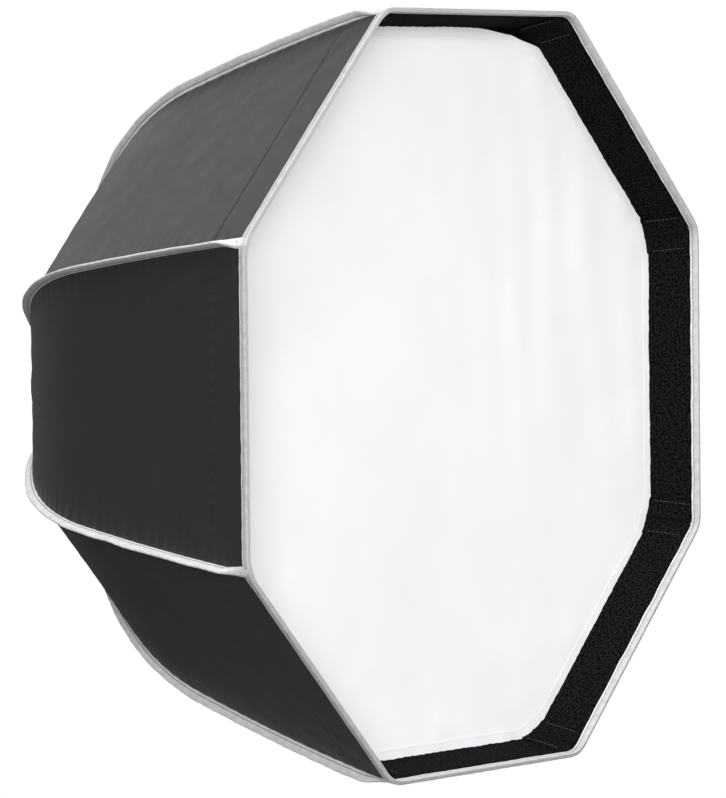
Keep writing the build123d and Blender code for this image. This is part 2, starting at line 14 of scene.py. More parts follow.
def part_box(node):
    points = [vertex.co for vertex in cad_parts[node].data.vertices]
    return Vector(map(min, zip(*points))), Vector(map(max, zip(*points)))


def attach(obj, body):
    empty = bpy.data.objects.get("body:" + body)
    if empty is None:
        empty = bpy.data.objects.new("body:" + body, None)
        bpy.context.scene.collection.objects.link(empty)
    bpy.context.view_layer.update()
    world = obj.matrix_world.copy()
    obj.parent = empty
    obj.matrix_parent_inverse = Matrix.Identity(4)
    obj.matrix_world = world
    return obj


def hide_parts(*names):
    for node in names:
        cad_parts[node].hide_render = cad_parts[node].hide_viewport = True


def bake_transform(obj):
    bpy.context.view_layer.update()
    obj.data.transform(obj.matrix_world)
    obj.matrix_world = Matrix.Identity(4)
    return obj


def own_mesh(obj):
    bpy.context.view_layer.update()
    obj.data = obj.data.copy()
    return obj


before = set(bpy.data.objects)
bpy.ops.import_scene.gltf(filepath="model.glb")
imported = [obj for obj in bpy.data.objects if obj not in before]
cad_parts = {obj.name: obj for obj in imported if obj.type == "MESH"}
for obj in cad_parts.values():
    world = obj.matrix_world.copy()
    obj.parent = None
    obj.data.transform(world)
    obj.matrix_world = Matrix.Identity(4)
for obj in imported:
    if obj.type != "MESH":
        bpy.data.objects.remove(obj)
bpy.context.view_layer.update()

MM = 0.001

# ---------------------------------------------------------------- shape of the wall
SIDES = 8
HALF = radians(180 / SIDES)
RIM_RADIUS = 300 * MM
RIM_TAPER, BEND_TAPER, ROOT_TAPER = radians(14), radians(19), radians(66)
WALL_ARC, BEND_ARC = 2360 * MM, 235 * MM
GORE_END_RADIUS = 99 * MM
RIM_FORWARD = -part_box("gore_2_a")[0][1]
WALL_RUN = WALL_ARC * (BEND_TAPER - RIM_TAPER)
BEND_RUN = BEND_ARC * (ROOT_TAPER - BEND_TAPER)
ROOT_RADIUS = (RIM_RADIUS - WALL_ARC * (cos(RIM_TAPER) - cos(BEND_TAPER))
               - BEND_ARC * (cos(BEND_TAPER) - cos(ROOT_TAPER)))
END_RUN = WALL_RUN + BEND_RUN + (ROOT_RADIUS - GORE_END_RADIUS) / sin(ROOT_TAPER)

# ---------------------------------------------------------------- sewn details
CLOTH_THICK = 0.9 * MM
SAG = 1.2 * MM                        # how far a gore's bend hangs inside its flat panel
SAGS = {3: -1.0 * MM, 4: 1.8 * MM, 5: 0.6 * MM}    # the gores that hang differently
TAPE_DEPTH = 6.4 * MM                 # rim binding, measured along the cloth
TAPE_STITCH_RUN = 0.7 * TAPE_DEPTH
LOOP_START, LOOP_END = 7.0 * MM, 42.0 * MM
LOOP_FACE, LOOP_BACK = 2.5 * MM, 1.05 * MM
TAPE_INSIDE = CLOTH_THICK + 0.3 * LOOP_FACE        # inset of the rim binding's inner half
HEM_RUN = 39.6 * MM                   # stitched line round the outside
FACING_END = 66 * MM                  # black facing inside the rim
POCKET_REACH, POCKET_ROUND, POCKET_END = 17 * MM, 21 * MM, 50 * MM
HOOK_START, HOOK_END = LOOP_END + 3 * MM, LOOP_END + 19 * MM
STITCH_PITCH, STITCH_LENGTH, STITCH_RADIUS = 3.3 * MM, 2.3 * MM, 0.26 * MM
SEAM_FLAT_END = 26 * MM               # the rib seams lie folded flat up to about here
TACK_RUNS = (8.2 * MM, 9.4 * MM)      # stitches across a folded seam
DIFFUSER_FORWARD = -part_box("front_diffuser")[0][1] - 0.8 * MM     # the plane behind its folds
DIFFUSER_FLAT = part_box("front_diffuser")[1][0] + 1.3 * MM
DIFFUSER_CUT = 280.8 * MM             # from the axis to the clipped corners
DIFFUSER_CORE = 130 * MM              # radius of the diffuser's round middle part
INNER_FORWARD = -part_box("inner_diffuser")[0][1]
INNER_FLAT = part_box("inner_diffuser")[1][0]
INNER_CORE = 80 * MM
DIFFUSER_THICK, DIFFUSER_HEM = 0.7 * MM, 9 * MM
STRAP_FACE, STRAP_REAR = INNER_FORWARD + 2.6 * MM, INNER_FORWARD + 1.5 * MM
STRAP_END, SNAP_PLACE = 246 * MM, 236 * MM         # from the axis
STRAP_HALF = 7.3 * MM                 # half the width of a strap
CUFF_END = 26.4 * MM                  # front edge of the rear cuff


def wall(run):
    """Corner radius, forward distance and taper of the wall at each run."""
    run = np.asarray(run, float)
    taper = np.where(run < WALL_RUN, RIM_TAPER + run / WALL_ARC,
                     np.minimum(BEND_TAPER + (run - WALL_RUN) / BEND_ARC, ROOT_TAPER))
    first = np.minimum(taper, BEND_TAPER)
    second = np.maximum(taper, BEND_TAPER)
    straight = np.maximum(run - WALL_RUN - BEND_RUN, 0)
    inward = (WALL_ARC * (cos(RIM_TAPER) - np.cos(first))
              + BEND_ARC * (cos(BEND_TAPER) - np.cos(second)) + straight * sin(ROOT_TAPER))
    back = (WALL_ARC * (np.sin(first) - sin(RIM_TAPER))
            + BEND_ARC * (np.sin(second) - sin(BEND_TAPER)) + straight * cos(ROOT_TAPER))
    return RIM_RADIUS - inward, RIM_FORWARD - back, taper


def uv_pairs(across, along):
    """Two lengths on the cloth for every point."""
    return np.stack(np.broadcast_arrays(across, along), axis=-1)


def half_name(gore, side):
    """A gore half's name: a runs from the gore's own rib, b from the next one."""
    return f"{gore}_{'a' if side < 0 else 'b'}"


def rib_angle(number):
    """Angle of a rib round the axis, from +X towards +Z."""
    return HALF * (2 * number - 1)


def gore_angle(number):
    """Angle of a gore's middle line."""
    return HALF * 2 * number


def point(angle, radial, across, forward):
    """Points from distances outward, across (towards larger angles) and forward."""
    radial, across, forward = np.broadcast_arrays(radial, across, forward)
    return np.stack([radial * cos(angle) - across * sin(angle), -forward,
                     radial * sin(angle) + across * cos(angle)], axis=-1)


def ease(x):
    """Smooth step from 0 to 1."""
    x = np.clip(x, 0, 1)
    return x * x * (3 - 2 * x)


def bell(x, width):
    """A smooth bump that is 1 at 0."""
    return np.exp(-(x / width) ** 2)


def waves(seed, count, shortest, longest, stretch=1.0):
    """A smooth random function of two lengths, between about -1 and 1."""
    rng = np.random.default_rng(seed)
    way = rng.uniform(0, 2 * pi, count)
    pitch = rng.uniform(shortest, longest, count)
    phase = rng.uniform(0, 2 * pi, count)

    def height(x, y):
        total = 0
        for w, p, f in zip(way, pitch, phase):
            total = total + np.sin(2 * pi * (x * cos(w) + y * sin(w) / stretch) / p + f)
        return total / count ** 0.5 / 1.4
    return height


def rounding(run):
    """Radius of the cloth's rounded corner over a rib; it opens out at the rim."""
    return (11 + 4 * np.exp(-run / (60 * MM)) + 14 * np.exp(-run / (7 * MM))) * MM


def gore_relief(gore):
    """How far the stretched cloth of one gore lies inside its flat panel."""
    broad = waves(40 + gore, 7, 60 * MM, 190 * MM, 2.2)
    fine = waves(90 + gore, 6, 16 * MM, 42 * MM, 2.0)
    shift = waves(140 + gore, 3, 50 * MM, 140 * MM)
    pull_turn, gather_turn = np.random.default_rng(190 + gore).uniform(0, 2 * pi, 2)
    sag = SAGS.get(gore, SAG)

    def relief(run, across, width):
        seam = np.maximum(width - np.abs(across), 0)
        share = np.clip(np.abs(across) / np.maximum(width, 1e-6), 0, 1)
        middle = 1 - share ** 2
        free = ease((run - 7 * MM) / (22 * MM)) * ease((END_RUN - run) / (16 * MM))
        # the panel hangs at its bend and, less, at its middle
        inside = middle * (sag * bell(run - 275 * MM, 90 * MM)
                           + 1.0 * MM * bell(run - 130 * MM, 70 * MM))
        # puckers beside the ribs
        sewn = np.exp(-seam / (8 * MM)) * (1 - np.exp(-seam / (1.5 * MM)))
        beat = 2 * pi * run / (12.5 * MM) + 2.2 * shift(run, across * 0.2)
        inside += 0.42 * MM * sewn * free * np.sin(beat)
        # broad and fine unevenness
        inside += 0.75 * MM * middle * free * broad(run * 0.55, across)
        inside += 0.16 * MM * middle * free * fine(run * 0.6, across)
        # slanting pulls from the front corners
        pull = np.exp(-run / (75 * MM)) * np.exp(-seam / (42 * MM)) * ease(seam / (7 * MM))
        slant = 2 * pi * (seam - 0.45 * run) / (30 * MM) + pull_turn
        inside += 0.7 * MM * pull * free * np.sin(slant)
        # gathers at the hub
        gather = np.exp(-(END_RUN - run) / (50 * MM)) * middle
        inside += 0.9 * MM * gather * np.cos(2 * pi * across / (21 * MM) + gather_turn)
        # the groove and ripples of the stitched line
        inside += 0.4 * MM * bell(run - HEM_RUN, 1.5 * MM) * ease(seam / (5 * MM))
        ripple = 0.16 * MM * np.sin(2 * pi * across / (9 * MM) + 2 * shift(across, 0))
        inside += ripple * bell(run - HEM_RUN, 6 * MM) * ease(seam / (8 * MM))
        return inside
    return relief


RELIEFS = {k: gore_relief(k) for k in range(1, SIDES + 1)}


def on_gore(gore, side, run, seam, inset):
    """Points on one gore: seam is the distance from its rib, on the side -1 (a) or 1 (b)."""
    run, seam, inset = np.broadcast_arrays(*(np.asarray(v, float) for v in (run, seam, inset)))
    radius, forward, taper = wall(run)
    width = radius * sin(HALF)
    corner = rounding(run)
    reach = corner * tan(HALF)
    turn = HALF * np.maximum(1 - seam / reach, 0)
    across = side * (width - np.maximum(seam, reach) + (corner - inset) * np.sin(turn))
    depth = corner * (1 - np.cos(turn)) + inset * np.cos(turn)
    depth = depth + RELIEFS[gore](run, side * (width - seam), width)
    return point(gore_angle(gore), radius * cos(HALF) - depth * np.cos(taper), across,
                 forward + depth * np.sin(taper))


def gore_sheet(gore, side, run, seam, height):
    """Points of a sheet on a gore and their normals; height is its inset at (run, seam)."""
    run, seam = np.broadcast_arrays(run, seam)
    step = 0.2 * MM

    def place(r, t):
        return on_gore(gore, side, r, t, height(r, t))

    points = place(run, seam)
    normals = np.cross(place(run + step, seam) - place(run - step, seam),
                       place(run, seam + step) - place(run, seam - step)) * side
    return points, normals / np.linalg.norm(normals, axis=-1)[..., None]


# ---------------------------------------------------------------- mesh helpers
def new_object(name, points, faces, materials, slots=None, uv=None):
    """A mesh object from arrays of points and faces; uv is one pair of metres per point."""
    mesh = bpy.data.meshes.new(name)
    mesh.from_pydata(np.asarray(points, float).tolist(), [], [list(map(int, f)) for f in faces])
    for material in materials:
        mesh.materials.append(material)
    if slots is not None:
        mesh.polygons.foreach_set("material_index", np.asarray(slots, np.int32))
    if uv is not None:
        layer = mesh.uv_layers.new(name="cloth")
        loops = np.empty(len(mesh.loops), np.int32)
        mesh.loops.foreach_get("vertex_index", loops)
        layer.data.foreach_set("uv", np.asarray(uv, np.float32)[loops].ravel())
    mesh.polygons.foreach_set("use_smooth", [True] * len(mesh.polygons))
    mesh.update()
    mesh.validate()
    made = bpy.data.objects.new(name, mesh)
    bpy.context.collection.objects.link(made)
    return made


def quads(rows, columns, start=0, closed=False, flip=False):
    """Faces of a grid of points, row by row; closed joins the last column to the first."""
    last = columns if closed else columns - 1
    row = start + np.arange(rows - 1)[:, None] * columns
    column = np.arange(last)[None, :]
    a, b = row + column, row + (column + 1) % columns
    faces = np.stack([a, b, b + columns, a + columns], axis=-1).reshape(-1, 4)
    return faces[:, ::-1] if flip else faces


def shell(name, outer, inner, materials, uv, flip=False, normals=None, disc=False):
    """A closed thin shell between two grids of points; a disc's rows are rings round its middle.

    The outer side has the first material and the inner side the last one.
    """
    last = len(materials) - 1
    rows, columns = outer.shape[:2]
    count = rows * columns
    faces = [quads(rows, columns, 0, disc, flip), quads(rows, columns, count, disc, not flip)]
    if disc:
        rim = np.arange(count - 1, count - columns - 1, -1)
    else:
        rim = np.concatenate([np.arange(columns), np.arange(1, rows) * columns + columns - 1,
                              (rows - 1) * columns + np.arange(columns - 2, -1, -1),
                              np.arange(rows - 2, 0, -1) * columns])
    after = np.roll(rim, -1)
    edge = np.stack([after, rim, rim + count, after + count], axis=-1)
    faces.append(edge[:, ::-1] if flip else edge)
    points = np.concatenate([outer.reshape(-1, 3), inner.reshape(-1, 3)])
    kinds = np.concatenate([np.full(len(f), s) for f, s in zip(faces, (0, last, 0))])
    pairs = np.concatenate([uv.reshape(-1, 2)] * 2)
    faces = np.concatenate(faces).tolist()
    if disc:
        middle = np.arange(columns)[::1 if flip else -1]
        faces += [middle.tolist(), (middle[::-1] + count).tolist()]
        kinds = np.append(kinds, (0, last))
    piece = new_object(name, points, faces, materials, kinds, pairs)
    if normals is not None:
        flat = normals.reshape(-1, 3)
        piece.data.normals_split_custom_set_from_vertices(np.concatenate([flat, -flat]).tolist())
    return piece


def band(name, rings, materials, uv, kinds=None, flip=False):
    """A closed tube: rings of points along a path, with both ends capped."""
    rows, columns = rings.shape[:2]
    faces = quads(rows, columns, 0, closed=True, flip=flip).tolist()
    slots = np.tile(np.zeros(columns, int) if kinds is None else kinds, rows - 1).tolist()
    ends = [list(range(columns)), list(range((rows - 1) * columns, rows * columns))[::-1]]
    faces += [end[::-1] for end in ends] if flip else ends
    piece = new_object(name, rings.reshape(-1, 3), faces, materials, slots + [0, 0],
                       uv.reshape(-1, 2))
    around = np.roll(rings, -1, axis=1) - np.roll(rings, 1, axis=1)
    normals = np.cross(np.gradient(rings, axis=0), around)
    normals /= np.maximum(np.linalg.norm(normals, axis=-1), 1e-12)[..., None]
    outwards = ((rings - rings.mean(axis=1, keepdims=True)) * normals).sum()
    normals = normals.reshape(-1, 3) * (1 if outwards > 0 else -1)
    piece.data.normals_split_custom_set_from_vertices(normals.tolist())
    return piece


STITCH_SIDES = 5
STITCH_RINGS = ((-0.5, 0.35), (-0.3, 1.0), (0.3, 1.0), (0.5, 0.35))    # shares of length, radius


def at_length(values, far, length):
    """One row of values at a length along a line; far is the length at each row."""
    return np.array([np.interp(length, far, values[:, i]) for i in range(3)])


def stitch_points(at, ahead, up):
    """The rings of one stitch, from its middle, a place ahead of it and the way up."""
    along = ahead - at
    along /= max(np.linalg.norm(along), 1e-9)
    up = up - along * up.dot(along)
    up /= max(np.linalg.norm(up), 1e-9)
    beside = np.cross(along, up)
    points = []
    for place, size in STITCH_RINGS:
        for j in range(STITCH_SIDES):
            turn = 2 * pi * j / STITCH_SIDES
            ring = (up * cos(turn) + beside * sin(turn)) * STITCH_RADIUS * size
            points.append(at + along * STITCH_LENGTH * place + ring)
    return points


def stitches(name, lines, material):
    """Sewing thread: short raised stitches along each line of (points, outward normals)."""
    points, faces = [], []
    for path, normals in lines:
        step = np.linalg.norm(np.diff(path, axis=0), axis=1)
        far = np.concatenate([[0], np.cumsum(step)])
        for s in np.arange(STITCH_PITCH / 2, far[-1] - STITCH_LENGTH / 2, STITCH_PITCH):
            ahead = at_length(path, far, s + STITCH_LENGTH / 2)
            first = len(points)
            points += stitch_points(at_length(path, far, s), ahead, at_length(normals, far, s))
            faces += quads(len(STITCH_RINGS), STITCH_SIDES, first, closed=True).tolist()
            faces.append(list(range(first, first + STITCH_SIDES)))
            faces.append(list(range(len(points) - STITCH_SIDES, len(points)))[::-1])
    return new_object(name, points, faces, [material])


def join_gore(piece):
    """Bakes a piece's transform into its mesh; the piece stays in place."""
    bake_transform(piece)
    return piece


# ---------------------------------------------------------------- materials
RAMP_INPUTS = ("From Min", "From Max", "To Min", "To Max")


class Nodes:
    """A material's node tree, with short ways to add nodes and links."""

    def __init__(self, name, color, roughness, metallic=0.0, sheen=0.0, sheen_roughness=0.5,
                 specular=0.5):
        self.material = bpy.data.materials.new(name)
        self.material.use_nodes = True
        self.tree = self.material.node_tree
        self.shader = self.tree.nodes["Principled BSDF"]
        self.shader.inputs["Base Color"].default_value = (*color, 1)
        self.shader.inputs["Roughness"].default_value = roughness
        self.shader.inputs["Metallic"].default_value = metallic
        self.shader.inputs["Sheen Weight"].default_value = sheen
        self.shader.inputs["Sheen Roughness"].default_value = sheen_roughness
        self.shader.inputs["Specular IOR Level"].default_value = specular
        self.color = color

    def add(self, kind, **settings):
        """A new node; each setting is one of its inputs or properties."""
        node = self.tree.nodes.new(kind)
        for key, value in settings.items():
            if key in node.inputs:
                node.inputs[key].default_value = value
            else:
                setattr(node, key, value)
        return node

    def link(self, output, target):
        self.tree.links.new(output, target)

    def math(self, operation, a, b=None):
        node = self.add("ShaderNodeMath", operation=operation)
        for socket, value in zip(node.inputs, (a, b)):
            if isinstance(value, (int, float)):
                socket.default_value = value
            elif value is not None:
                self.link(value, socket)
        return node.outputs[0]

    def noise(self, vector, scale, detail=3.0, roughness=0.5):
        node = self.add("ShaderNodeTexNoise", Scale=scale, Detail=detail, Roughness=roughness)
        self.link(vector, node.inputs["Vector"])
        return node.outputs["Fac"]

    def coordinates(self):
        return self.add("ShaderNodeTexCoord").outputs["Object"]

    def cloth(self):
        """The two lengths along the cloth, in metres."""
        where = self.add("ShaderNodeUVMap", uv_map="cloth")
        parts = self.add("ShaderNodeSeparateXYZ")
        self.link(where.outputs["UV"], parts.inputs[0])
        return parts.outputs["X"], parts.outputs["Y"], where.outputs["UV"]

    def ramp(self, factor, low, high, span=(0.3, 0.7)):
        """Takes factor from its span to the range from low to high."""
        node = self.add("ShaderNodeMapRange")
        for name, value in zip(RAMP_INPUTS, (*span, low, high)):
            node.inputs[name].default_value = value
        self.link(factor, node.inputs["Value"])
        return node.outputs[0]

    def tint(self, factor, low, high, span=(0.3, 0.7)):
        """Varies the base colour between two shares of itself, as factor crosses the span."""
        share = self.ramp(factor, low, high, span)
        mix = self.add("ShaderNodeVectorMath", operation="SCALE")
        mix.inputs[0].default_value = self.color
        self.link(share, mix.inputs["Scale"])
        self.link(mix.outputs[0], self.shader.inputs["Base Color"])

    def rough(self, factor, low, high):
        """Varies the roughness between two values."""
        self.link(self.ramp(factor, low, high), self.shader.inputs["Roughness"])

    def bump(self, height, distance, strength=1.0):
        """Adds a bump on top of those already there."""
        node = self.add("ShaderNodeBump", Strength=strength, Distance=distance)
        self.link(height, node.inputs["Height"])
        if self.shader.inputs["Normal"].is_linked:
            self.link(self.shader.inputs["Normal"].links[0].from_socket, node.inputs["Normal"])
        self.link(node.outputs[0], self.shader.inputs["Normal"])


def weave(nodes, across, along, pitch, twill=False):
    """Height of a woven surface: a plain weave, or the slanting lines of a twill."""
    u = nodes.math("MULTIPLY", across, 2 * pi / pitch)
    v = nodes.math("MULTIPLY", along, 2 * pi / pitch)
    if twill:
        return nodes.math("SINE", nodes.math("ADD", u, v))
    over = nodes.math("MULTIPLY", nodes.math("SINE", u), nodes.math("SINE", v))
    return nodes.math("ADD", over, 0.5)


def make_polyester():
    nodes = Nodes("black_polyester", (0.020, 0.0198, 0.021), 0.52, sheen=0.03, sheen_roughness=0.4)
    across, along, where = nodes.cloth()
    nodes.tint(nodes.noise(where, 28, 4), 0.94, 1.08)
    nodes.rough(nodes.noise(where, 60, 3), 0.49, 0.55)
    nodes.bump(weave(nodes, across, along, 0.55 * MM), 0.05 * MM, 0.6)
    nodes.bump(nodes.noise(where, 420, 2), 0.12 * MM, 0.35)
    return nodes.material


def make_silver():
    nodes = Nodes("silver_lining", (0.74, 0.75, 0.77), 0.32, metallic=0.9)
    where = nodes.cloth()[2]
    cells = nodes.add("ShaderNodeTexVoronoi", Scale=420.0)
    nodes.link(where, cells.inputs["Vector"])
    nodes.tint(nodes.noise(where, 35, 3), 0.85, 1.05)
    nodes.bump(cells.outputs["Distance"], 0.3 * MM, 0.5)
    return nodes.material


def make_tape(name, color):
    nodes = Nodes(name, color, 0.8, sheen=0.1)
    across, along, where = nodes.cloth()
    nodes.tint(nodes.noise(where, 150, 4, 0.65), 0.8, 1.1)
    nodes.bump(weave(nodes, across, along, 1.1 * MM, twill=True), 0.12 * MM, 0.8)
    nodes.bump(nodes.noise(where, 260, 3), 0.5 * MM, 0.6)
    return nodes.material


def make_thread(name, color):
    nodes = Nodes(name, color, 0.6, sheen=0.2)
    nodes.tint(nodes.noise(nodes.coordinates(), 900, 2), 0.8, 1.15)
    return nodes.material


def make_loop_tape():
    nodes = Nodes("black_loop_tape", (0.0068, 0.0068, 0.007), 0.95, specular=0.03)
    where = nodes.cloth()[2]
    nodes.tint(nodes.noise(where, 560, 3, 0.7), 0.0, 2.6, (0.4, 0.64))
    nodes.bump(nodes.noise(where, 650, 4, 0.75), 0.8 * MM, 0.9)
    return nodes.material


def make_diffuser_cloth():
    nodes = Nodes("white_diffuser_cloth", (0.87, 0.875, 0.895), 0.62, sheen=0.1)
    across, along, where = nodes.cloth()
    nodes.tint(nodes.noise(where, 14, 3), 0.975, 1.015)
    nodes.bump(weave(nodes, across, along, 0.7 * MM), 0.04 * MM, 0.4)
    return nodes.material


def make_elastic():
    nodes = Nodes("black_elastic", (0.018, 0.018, 0.019), 0.7, sheen=0.25)
    across, _, where = nodes.cloth()
    ridges = nodes.math("SINE", nodes.math("MULTIPLY", across, 2 * pi / (1.3 * MM)))
    nodes.tint(nodes.noise(where, 300, 3), 0.7, 1.4)
    nodes.bump(ridges, 0.25 * MM, 0.8)
    return nodes.material


def make_plastic(name, color, roughness):
    nodes = Nodes(name, color, roughness)
    where = nodes.coordinates()
    nodes.tint(nodes.noise(where, 40, 3), 0.88, 1.12)
    nodes.rough(nodes.noise(where, 130, 4), roughness - 0.06, roughness + 0.08)
    nodes.bump(nodes.noise(where, 1500, 2), 0.09 * MM, 0.6)
    return nodes.material


def make_metal(name, color, roughness, turned=False):
    nodes = Nodes(name, color, roughness, metallic=1.0)
    where = nodes.coordinates()
    nodes.tint(nodes.noise(where, 60, 3), 0.88, 1.05)
    if turned:
        parts = nodes.add("ShaderNodeSeparateXYZ")
        nodes.link(where, parts.inputs[0])
        x2 = nodes.math("MULTIPLY", parts.outputs["X"], parts.outputs["X"])
        z2 = nodes.math("MULTIPLY", parts.outputs["Z"], parts.outputs["Z"])
        radius = nodes.math("SQRT", nodes.math("ADD", x2, z2))
        joined = nodes.add("ShaderNodeCombineXYZ")
        nodes.link(radius, joined.inputs["X"])
        nodes.link(parts.outputs["Y"], joined.inputs["Y"])
        nodes.bump(nodes.noise(joined.outputs[0], 2500, 2), 0.05 * MM, 0.5)
    nodes.rough(nodes.noise(where, 300, 4), roughness - 0.07, roughness + 0.1)
    return nodes.material


POLYESTER = make_polyester()
SILVER = make_silver()
TAPE = make_tape("grey_binding_tape", (0.63, 0.63, 0.642))
# Pale tape for the stitched lips; on each rib seam it also covers one whole side as painted light.
TAPE_LIP_AND_LIT_SIDE = make_tape("pale_tape_lip_and_painted_light_side", (0.9, 0.9, 0.91))
# Dark grey tape in the stitched grooves: painted shade in the crease.
TAPE_GROOVE_SHADE = make_tape("tape_groove_painted_shade", (0.26, 0.26, 0.27))
DARK_THREAD = make_thread("dark_grey_thread", (0.035, 0.035, 0.036))
GREY_THREAD = make_thread("grey_thread", (0.52, 0.52, 0.54))
BLACK_THREAD = make_thread("black_thread", (0.008, 0.008, 0.009))
WHITE_THREAD = make_thread("white_thread", (0.8, 0.8, 0.82))
LOOP_TAPE = make_loop_tape()
DIFFUSER_CLOTH = make_diffuser_cloth()
ELASTIC = make_elastic()
HUB_PLASTIC = make_plastic("hub_plastic", (0.022, 0.022, 0.024), 0.5)
LOCK_PLASTIC = make_plastic("lock_plastic", (0.07, 0.07, 0.075), 0.45)
NYLON = make_plastic("lever_nylon", (0.03, 0.03, 0.032), 0.42)
RING_METAL = make_metal("ring_aluminium", (0.66, 0.67, 0.69), 0.3, turned=True)
STEEL = make_metal("bright_steel", (0.56, 0.57, 0.59), 0.28)
ROD_STEEL = make_metal("rod_steel", (0.5, 0.5, 0.53), 0.34)


# ---------------------------------------------------------------- gores
def run_samples():
    """Runs from the rim to the hub, closer together at the stitched line."""
    coarse = np.linspace(1.5 * MM, END_RUN, 118)
    fine = HEM_RUN + np.linspace(-6, 6, 15) * MM
    keep = coarse[np.abs(coarse - HEM_RUN) > 6.6 * MM]
    return np.sort(np.concatenate([keep, fine]))


def seam_samples(widest):
    """Shares of the half width, closer together beside the seam."""
    near = np.array([0, 1, 2, 3.2, 4.6, 6.2, 8, 10, 12.5, 15.5]) * MM / widest
    return np.concatenate([near, np.linspace(19 * MM / widest, 1, 26)])


def make_gore_half(gore, side):
    """Black cloth with its silver lining, from one rib to the gore's middle line."""
    run = run_samples()[:, None]
    width = wall(run)[0] * sin(HALF)
    share = seam_samples(RIM_RADIUS * sin(HALF))[None, :]
    seam = share * width
    outer, normals = gore_sheet(gore, side, run, seam, lambda r, t: 0 * r)
    inner = on_gore(gore, side, run, seam, CLOTH_THICK)
    uv = uv_pairs(side * (width - seam), run)
    name = f"gore_{half_name(gore, side)}"
    piece = shell(f"{name}_cloth", outer, inner, [POLYESTER, SILVER], uv, flip=side > 0,
                  normals=normals)
    facing = int((run[:, 0] < FACING_END).sum() - 1) * (share.size - 1)
    first = (run.size - 1) * (share.size - 1)
    for polygon in piece.data.polygons[first:first + facing]:
        polygon.material_index = 0
    join_gore(piece)
    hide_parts(name)


# Across the binding's face: shares of its depth and of its thickness.
RIM_PROFILE = ((1.0, -0.2), (0.96, 0.5), (0.86, 0.85), (0.74, 0.78), (0.69, 0.2), (0.64, 0.8),
               (0.45, 1.1), (0.2, 1.1), (0.04, 0.95), (-0.03, 0.5))
RIM_KINDS = (1, 1, 1, 2, 2, 0, 0, 0, 0, 0)         # 0 tape, 1 pale lip, 2 stitched groove painted dark as shade


def make_rim_binding(gore, side):
    """Folded tape over the front edge of half a gore: a pale lip, a stitched groove painted dark as
    shade, a roll.
    """
    seam = np.linspace(0, 1, 56) ** 1.15 * RIM_RADIUS * sin(HALF)
    uneven = waves(300 + gore, 4, 9 * MM, 40 * MM)
    across = side * (RIM_RADIUS * sin(HALF) - seam)
    depth = TAPE_DEPTH + 0.35 * MM * uneven(across, 0)
    face = 0.85 * MM + 0.1 * MM * uneven(across, 0.2)
    rings, lengths = [], []
    for way, profile in ((-1, RIM_PROFILE), (1, RIM_PROFILE[::-1])):
        for place, height in profile:
            inset = -height * face if way < 0 else TAPE_INSIDE + height * face
            rings.append(on_gore(gore, side, place * depth, seam, inset))
            lengths.append(np.full_like(seam, way * (1.05 - place) * TAPE_DEPTH))
    rings = np.stack(rings, axis=1)
    uv = uv_pairs(across[:, None], np.stack(lengths, axis=1))
    kinds = np.array(RIM_KINDS + RIM_KINDS[-2::-1] + (1,))
    name = f"rim_binding_{half_name(gore, side)}"
    piece = band(name, rings, [TAPE, TAPE_LIP_AND_LIT_SIDE, TAPE_GROOVE_SHADE], uv, kinds, flip=side < 0)
    join_gore(piece)


def surface_line(gore, side, run, seam, inset, lift):
    """A line on a gore with its outward normals, for stitches that stand lift above it."""
    at = on_gore(gore, side, run, seam, inset)
    out = on_gore(gore, side, run, seam, inset - 1 * MM) - at
    out /= np.linalg.norm(out, axis=1)[:, None]
    return at + out * lift, out


def make_gore_stitching(gore, side):
    """The stitched line round the outside, and the tape's stitches at the rim."""
    seam = np.linspace(4 * MM, RIM_RADIUS * sin(HALF) - 0.5 * MM, 90)
    name = half_name(gore, side)
    black = stitches(f"hem_stitching_{name}",
                     [surface_line(gore, side, np.full_like(seam, HEM_RUN), seam, 0, 0.08 * MM)],
                     BLACK_THREAD)
    join_gore(black)
    run = np.full_like(seam, TAPE_STITCH_RUN)
    outside = surface_line(gore, side, run, seam, 0, 0.45 * MM)
    at, out = surface_line(gore, side, run, seam, TAPE_INSIDE, -0.45 * MM)
    grey = stitches(f"rim_stitching_{name}", [outside, (at, -out)], GREY_THREAD)
    join_gore(grey)


def make_loop_band(gore, side):
    """Fuzzy loop tape inside the rim, from beside the rib to the middle line."""
    run = np.linspace(LOOP_START, LOOP_END, 25)[:, None]
    width = wall(run)[0] * sin(HALF)
    seam = np.linspace(6 * MM, width[:, 0], 84, axis=1)
    fuzz = waves(400 + gore * 2 + (side > 0), 9, 2.2 * MM, 6 * MM)

    def height(r, t):
        edge = np.minimum(r - LOOP_START, LOOP_END - r)
        base = (LOOP_FACE - LOOP_BACK) * ease(edge / (1.6 * MM)) + LOOP_BACK
        return base + 0.12 * MM * fuzz(r, side * t) * ease(edge / (2 * MM))

    outer = on_gore(gore, side, run, seam, LOOP_BACK - 0.1 * MM)
    inner, normals = gore_sheet(gore, side, run, seam, height)
    uv = uv_pairs(side * seam, run)
    name = f"loop_band_{half_name(gore, side)}"
    piece = shell(name, outer, inner, [LOOP_TAPE], uv, flip=side > 0, normals=normals)
    join_gore(piece)


def pocket_height(gore, side, start, end):
    """The inset of a tip pocket's woolly face, which rounds the corner inside."""
    fuzz = waves(500 + gore * 2 + (side > 0), 9, 2.2 * MM, 6 * MM)
    round_radius = POCKET_ROUND / tan(HALF)

    def height(r, t):
        edge = np.minimum(np.minimum(r - start, end - r), POCKET_REACH - t)
        rounded = np.maximum(POCKET_ROUND - np.maximum(t, 0), 0) ** 2 / (2 * round_radius)
        rounded = (rounded + 0.7 * MM) * ease((r - start) / (2.1 * MM))
        woolly = 0.1 * MM * fuzz(r, side * t) * ease(edge / (2 * MM)) * ease(t / (3 * MM))
        return LOOP_FACE + 0.1 * MM + rounded + 0.9 * MM * ease(edge / (1.2 * MM)) + woolly
    return height


